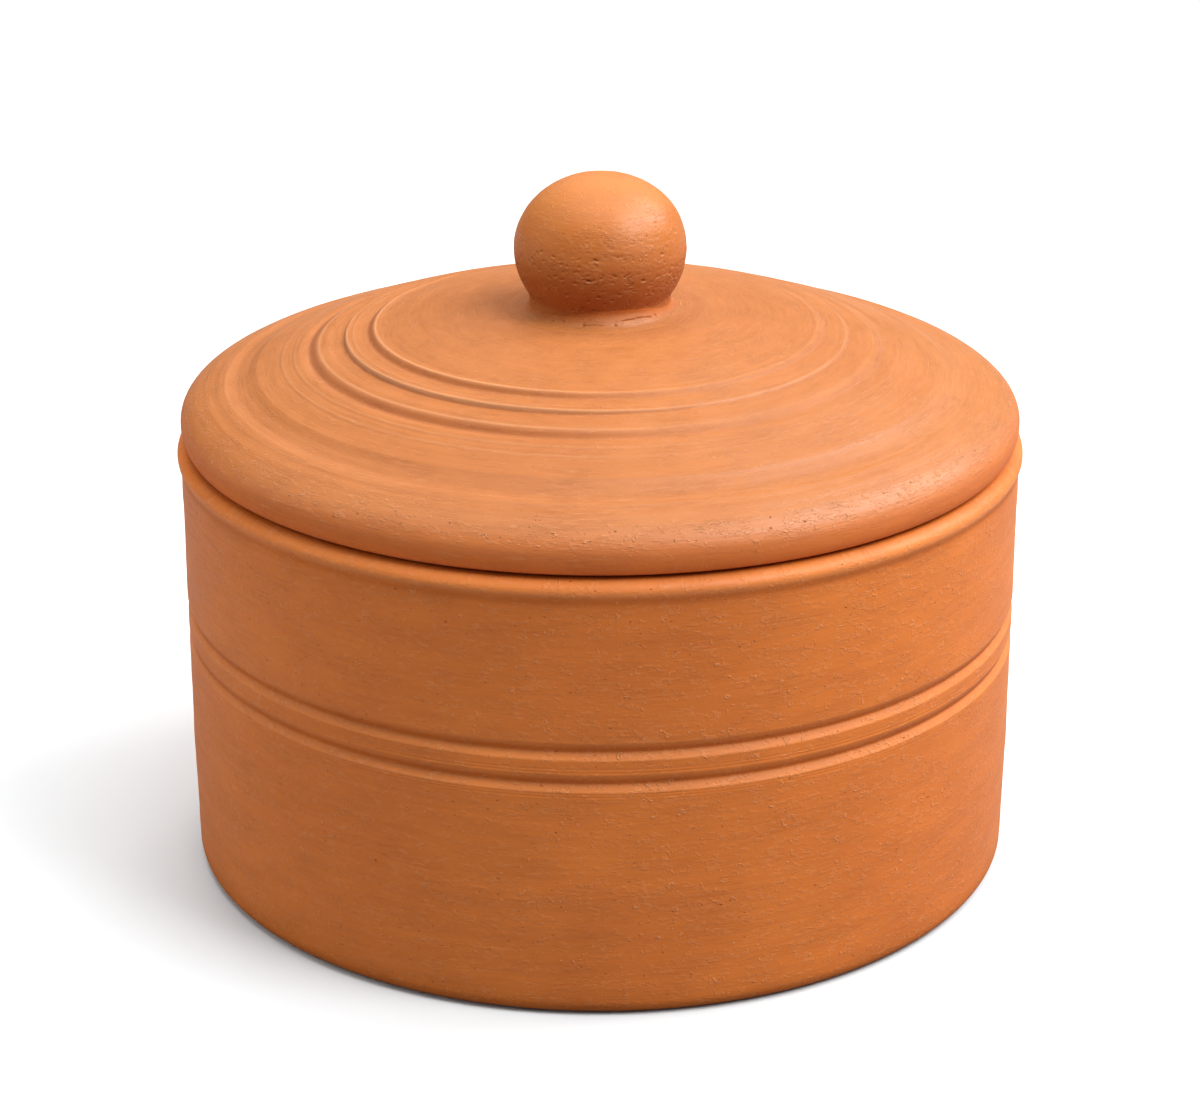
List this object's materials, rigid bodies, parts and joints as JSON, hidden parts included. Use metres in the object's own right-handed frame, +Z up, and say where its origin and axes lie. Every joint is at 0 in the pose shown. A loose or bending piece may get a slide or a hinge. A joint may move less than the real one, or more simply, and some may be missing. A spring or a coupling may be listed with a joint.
{
  "type": "lidded curd pot",
  "caption": "Straight-sided terracotta curd pot with a rolled rim and grooves round its belly, under a domed lid with throwing rings and a ball knob.",
  "frame": {"origin": "centre of the pot's foot, on the surface it stands on", "axes": "+Z up along the axis the pot and lid were turned about; -Y towards the viewer of the picture, +X to that viewer's right"},
  "size_m": [0.17, 0.17, 0.1408],
  "materials": {
    "pot_clay": "unglazed terracotta, burnished on the wheel, satin to matt",
    "lid_clay": "unglazed terracotta with throwing rings, matt with a soft sheen",
    "knob_clay": "unglazed terracotta, smoothed by hand, matt with a soft sheen",
    "slip": "dried clay slip, matt and slightly rough"
  },
  "bodies": {
    "pot": {"pot_body": "pot_clay"},
    "lid": {"lid_plate": "lid_clay", "lid_locating_ring": "lid_clay", "knob": "knob_clay", "knob_collar": "slip"}
  },
  "joints": [
    {"name": "lid_lift", "type": "slide", "parent": "pot", "child": "lid", "axis": [0, 0, 1], "range_m": [0, 0.15]}
  ]
}
